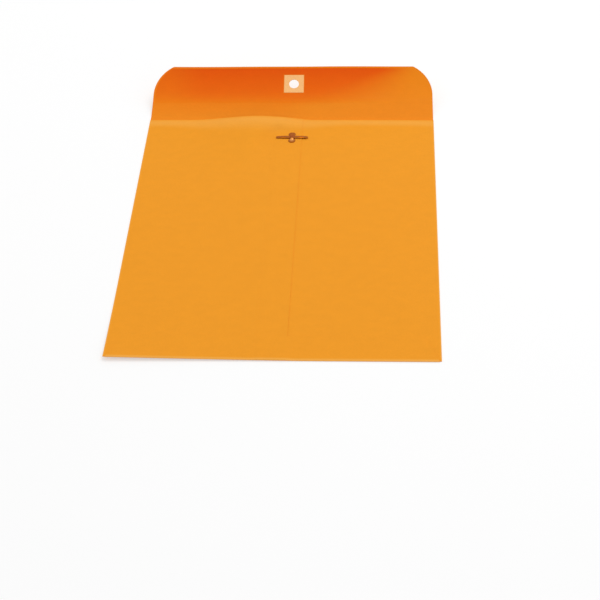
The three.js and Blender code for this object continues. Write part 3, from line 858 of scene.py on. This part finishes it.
# Patterns: their sizes, their turns, and the noise values between which they show. The
# paper's sizes are in millimetres, and the metal's in metres.
FIBRE_SIZE = (2, 0.11, 1)
FIBRE_TURNS = (0.25, 1.35, 2.4)
FIBRE_VALUES = (0.5, 0.75)
CLOUD_SIZE = (9, 6, 6)
CLOUD_VALUES = (0.3, 0.7)
CLOUD_CONTRAST = 0.015
STREAK_SIZE = (40, 1.3, 1)
STREAK_VALUES = (0.3, 0.7)
FLECK_SIZE = (1.2, 0.2, 1)
FLECK_TURN = 0.9
FLECK_VALUES = (0.4, 0.7)
POOL_SIZE = (14, 3, 1)
POOL_VALUES = (0.35, 0.65)
STAIN_SIZE = (0.0012, 0.0012, 0.0012)
STAIN_VALUES = (0.35, 0.65)
SCRATCH_SIZE = (0.003, 0.00006, 0.00006)
SCRATCH_VALUES = (0.3, 0.7)
RELIEF_STRENGTH = 0.3
WEAR_AND_HIGHLIGHT_SHARE = 0.6


def add(tree, kind, inputs, **settings):
    """A node of that kind. inputs are its sockets' values, or the sockets linked to them."""
    node = tree.nodes.new("ShaderNode" + kind)
    for key, value in settings.items():
        setattr(node, key, value)
    for key, value in inputs.items():
        if isinstance(value, bpy.types.NodeSocket):
            tree.links.new(value, node.inputs[key])
        else:
            node.inputs[key].default_value = value
    return node


def new_material(name, roughness, specular=PAPER_SPECULAR, metallic=0.0):
    material = bpy.data.materials.new(name)
    material.use_nodes = True
    shader = material.node_tree.nodes["Principled BSDF"]
    shader.inputs["Roughness"].default_value = roughness
    shader.inputs["Metallic"].default_value = metallic
    shader.inputs["Specular IOR Level"].default_value = specular
    return material, material.node_tree, shader


def sheet_place(tree):
    """The place on the flat sheet, in millimetres."""
    return add(tree, "Attribute", {}, attribute_name="sheet").outputs["Vector"]


def point_value(tree, name):
    """One of the values that the mesh carries at its points."""
    return add(tree, "Attribute", {}, attribute_name=name).outputs["Fac"]


def stretched_noise(tree, place, turn, size, detail=2):
    """Noise drawn out to that size, its long side turned by an angle."""
    inputs = {"Vector": place, "Rotation": (0, 0, turn), "Scale": size}
    where = add(tree, "Mapping", inputs, vector_type="TEXTURE").outputs["Vector"]
    return add(tree, "TexNoise", {"Vector": where, "Scale": 1, "Detail": detail}).outputs["Fac"]


def maths(tree, operation, first, second):
    return add(tree, "Math", {0: first, 1: second}, operation=operation).outputs[0]


def spread(tree, value, old, new=(0, 1)):
    """Stretches a value from the old pair of ends to the new one."""
    inputs = {"Value": value, "From Min": old[0], "From Max": old[1]}
    inputs |= {"To Min": new[0], "To Max": new[1]}
    return add(tree, "MapRange", inputs).outputs["Result"]


def blended(tree, factor, first, second):
    inputs = {"Factor": factor, "A": first, "B": second}
    return add(tree, "Mix", inputs, data_type="RGBA").outputs["Result"]


def relief(tree, shader, height, depth):
    inputs = {"Strength": RELIEF_STRENGTH, "Distance": depth * MM, "Height": height}
    tree.links.new(add(tree, "Bump", inputs).outputs["Normal"], shader.inputs["Normal"])


def fibres(tree, shader, colour, contrast, depth):
    """Long paper fibres that cross each other, over the cloudy spread of the pulp."""
    place = sheet_place(tree)
    lines = [stretched_noise(tree, place, turn, FIBRE_SIZE) for turn in FIBRE_TURNS]
    crossed = maths(tree, "MAXIMUM", maths(tree, "MAXIMUM", lines[0], lines[1]), lines[2])
    clouds = stretched_noise(tree, place, 0, CLOUD_SIZE, detail=3)
    fine = spread(tree, crossed, FIBRE_VALUES, (1 - contrast, 1 + contrast))
    broad = spread(tree, clouds, CLOUD_VALUES, (1 - CLOUD_CONTRAST, 1 + CLOUD_CONTRAST))
    tone = maths(tree, "MULTIPLY", fine, broad)
    tint = add(tree, "VectorMath", {0: colour, "Scale": tone}, operation="SCALE").outputs[0]
    tree.links.new(tint, shader.inputs["Base Color"])
    relief(tree, shader, crossed, depth)


def toned(tree, stops, faded):
    """A colour that follows the tone value, and paints the flap's shade. stops are (value, colour),
    and faded is the colour that it fades to."""
    last = INSIDE + FLAP_LENGTH
    ramp = add(tree, "ValToRGB", {"Fac": spread(tree, point_value(tree, "along"), (0, last))})
    scale = ramp.color_ramp
    while len(scale.elements) < len(stops):
        scale.elements.new(0.5)
    for element, (value, colour) in zip(scale.elements, stops):
        element.position = value / last
        element.color = colour
    return blended(tree, point_value(tree, "fade"), ramp.outputs["Color"], faded)


kraft, tree, shader = new_material("kraft paper", roughness=0.75)
# The creases' wear and the painted highlight below the mouth lighten the paper
wear_and_highlight = maths(tree, "MULTIPLY", point_value(tree, "wear_and_highlight"), WEAR_AND_HIGHLIGHT_SHARE)
shade = blended(tree, wear_and_highlight, toned(tree, INSIDE_SHADE_STOPS, KRAFT_INSIDE_SHADED), KRAFT_WEAR_AND_HIGHLIGHT)
fibres(tree, shader, shade, contrast=0.06, depth=0.02)

gum_film, tree, shader = new_material("dried gum", roughness=0.5, specular=GUM_SPECULAR)
# The gum's colour, with painted shade deepening towards the flap's tip
fibres(tree, shader, toned(tree, GUM_AND_SHADE_STOPS, KRAFT_INSIDE_SHADED), contrast=0.04, depth=0.01)
streaks = stretched_noise(tree, sheet_place(tree), 0, STREAK_SIZE, detail=3)
dull = spread(tree, streaks, STREAK_VALUES, GUM_ROUGHNESS)
tree.links.new(dull, shader.inputs["Roughness"])

manila, tree, shader = new_material("patch paper", roughness=0.85)
flecks = stretched_noise(tree, sheet_place(tree), FLECK_TURN, FLECK_SIZE, detail=3)
shade = blended(tree, spread(tree, flecks, FLECK_VALUES), MANILA, MANILA_FLECK)
fibres(tree, shader, shade, contrast=0.05, depth=0.03)

steel, tree, shader = new_material(
    "plated steel", roughness=0.32, specular=STEEL_SPECULAR, metallic=1.0
)
place = add(tree, "TexCoord", {}).outputs["Object"]
stains = stretched_noise(tree, place, 0, STAIN_SIZE, detail=3)
shade = blended(tree, spread(tree, stains, STAIN_VALUES), STEEL_DARK, STEEL_BRIGHT)
# The boss's painted highlight lightens the plating here
shade = blended(tree, point_value(tree, "wear_and_highlight"), shade, STEEL_PAINTED_HIGHLIGHT)
tree.links.new(shade, shader.inputs["Base Color"])
scratches = stretched_noise(tree, place, 0, SCRATCH_SIZE)
dull = spread(tree, scratches, SCRATCH_VALUES, STEEL_ROUGHNESS)
tree.links.new(dull, shader.inputs["Roughness"])
relief(tree, shader, scratches, depth=0.002)

paste, tree, shader = new_material("dry paste", roughness=0.5)
pools = stretched_noise(tree, sheet_place(tree), 0, POOL_SIZE, detail=3)
shade = blended(tree, spread(tree, pools, POOL_VALUES), PASTE_THIN, PASTE_THICK)
tree.links.new(shade, shader.inputs["Base Color"])


def dress(obj, material):
    obj.data.materials.append(material)


# Pieces

left = back_panel("back_left", -1)
right = back_panel("back_right", 1)
fold = bottom_flap()
front = blank()
film = gum()
square = patch()

seam_columns = steps(-SEAM_GLUE_HALF_WIDTH, SEAM_GLUE_HALF_WIDTH, SEAM_GLUE_COLUMN_STEP)
seam_rows = steps(PANEL_BOTTOM_Y, MOUTH_Y - SEAM_GLUE_END, SEAM_GLUE_ROW_STEP)
seam_line = glue_line(
    "seam_paste",
    joined(seam_columns, slit_edges_x),
    joined(seam_rows, slit_edges_y),
    lambda x, y: inner_face(x, y) + PAPER,
)
bottom_line_y = (BOTTOM_CREASE_Y - HEIGHT / 2 + BOTTOM_FLAP_HEIGHT) / 2
bottom_line_low = bottom_line_y - BOTTOM_GLUE_HALF_HEIGHT
bottom_line_high = bottom_line_y + BOTTOM_GLUE_HALF_HEIGHT
bottom_line = glue_line(
    "bottom_paste",
    across_seam(BOTTOM_GLUE_HALF_WIDTH),
    steps(bottom_line_low, bottom_line_high, BOTTOM_GLUE_ROW_STEP),
    lambda x, y: inner_face(x, y) + lap_rise(x) + PAPER,
)

for obj, node in ((left, "back_panel_left"), (right, "back_panel_right"), (fold, "bottom_flap")):
    dress(obj, kraft)
    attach(obj, "envelope")
    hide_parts(node)
dress(front, kraft)
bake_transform(front)
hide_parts("front_panel", "closure_flap")
dress(film, gum_film)
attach(film, "flap")
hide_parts("seal_gum")
for obj, node in ((seam_line, "seam_glue"), (bottom_line, "bottom_glue")):
    dress(obj, paste)
    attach(obj, "envelope")
    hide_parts(node)
dress(square, manila)
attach(square, "flap")
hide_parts("eyelet_patch")

for obj, node, body in (
    (clasp_strip(), "clasp_base", "envelope"),
    (prong("prong_left_strip", -1), "clasp_prong_left", "prong_left"),
    (prong("prong_right_strip", 1), "clasp_prong_right", "prong_right"),
):
    dress(obj, steel)
    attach(obj, body)
    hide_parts(node)

# Floor and light, in metres

FLOOR_SIZE = 6
FLOOR_DROP = 0.0001
FLOOR_GLOW = 0.5
ROOM_LIGHT = 0.72
KEY_POWER = 16.5
KEY_LENGTH = 1.6
KEY_WIDTH = 1.1
KEY_PLACE = (0.6, 0.7, 1.9)


def seen_directly(tree):
    """One for what the camera sees or the metal mirrors, and zero for light on the object."""
    ray = add(tree, "LightPath", {}).outputs
    return maths(tree, "MAXIMUM", ray["Is Camera Ray"], ray["Is Glossy Ray"])


bpy.ops.mesh.primitive_plane_add(size=FLOOR_SIZE, location=(0, 0, -FLOOR_DROP))
floor = bpy.context.object
floor.name = "floor"
white, tree, shader = new_material("white floor", roughness=0.9)
shader.inputs["Base Color"].default_value = FLOOR_WHITE
floor.data.materials.append(white)

# The floor is seen half way between its lit colour and pure white, which keeps the shadow
pure = add(tree, "Emission", {"Color": WHITE, "Strength": 1.0}).outputs[0]
half_seen = maths(tree, "MULTIPLY", seen_directly(tree), FLOOR_GLOW)
mixed = add(tree, "MixShader", {0: half_seen, 1: shader.outputs[0], 2: pure}).outputs[0]
tree.links.new(mixed, tree.nodes["Material Output"].inputs["Surface"])

# The room is pure white where it is seen or mirrored, and its light is a little weaker
world = bpy.data.worlds.new("white room")
bpy.context.scene.world = world
world.use_nodes = True
tree = world.node_tree
room = tree.nodes["Background"]
room.inputs["Color"].default_value = WHITE
strength = spread(tree, seen_directly(tree), (0, 1), (ROOM_LIGHT, 1))
tree.links.new(strength, room.inputs["Strength"])

key = bpy.data.objects.new("key", bpy.data.lights.new("key", "AREA"))
key.data.shape = "RECTANGLE"
key.data.size = KEY_LENGTH
key.data.size_y = KEY_WIDTH
key.data.energy = KEY_POWER
key.location = KEY_PLACE
key.rotation_euler = (-key.location).to_track_quat("-Z", "Y").to_euler()
bpy.context.scene.collection.objects.link(key)

# Camera, as fitted to the photograph's outline

FOCAL_PX = 1766.71
PHOTO_PX = 600
SENSOR = 36
ELEVATION = math.radians(38.071)
AZIMUTH = math.radians(3.430)
ROLL = math.radians(-1.794)
DISTANCE = 1238.82
TARGET = Vector((16.459, -85.678, 0))

back = Vector(
    (
        math.sin(AZIMUTH) * math.cos(ELEVATION),
        -math.cos(AZIMUTH) * math.cos(ELEVATION),
        math.sin(ELEVATION),
    )
)
level = (-back).cross(Vector((0, 0, 1))).normalized()
upright = level.cross(-back)
across = math.cos(ROLL) * level + math.sin(ROLL) * upright
above = -math.sin(ROLL) * level + math.cos(ROLL) * upright
eye = (TARGET + back * DISTANCE) * MM
camera = bpy.data.objects.new("camera", bpy.data.cameras.new("camera"))
camera.data.sensor_width = SENSOR
camera.data.lens = FOCAL_PX / PHOTO_PX * SENSOR
camera.matrix_world = Matrix.Translation(eye) @ Matrix((across, above, back)).transposed().to_4x4()
bpy.context.scene.collection.objects.link(camera)
bpy.context.scene.camera = camera
bpy.context.scene.view_settings.view_transform = "Standard"
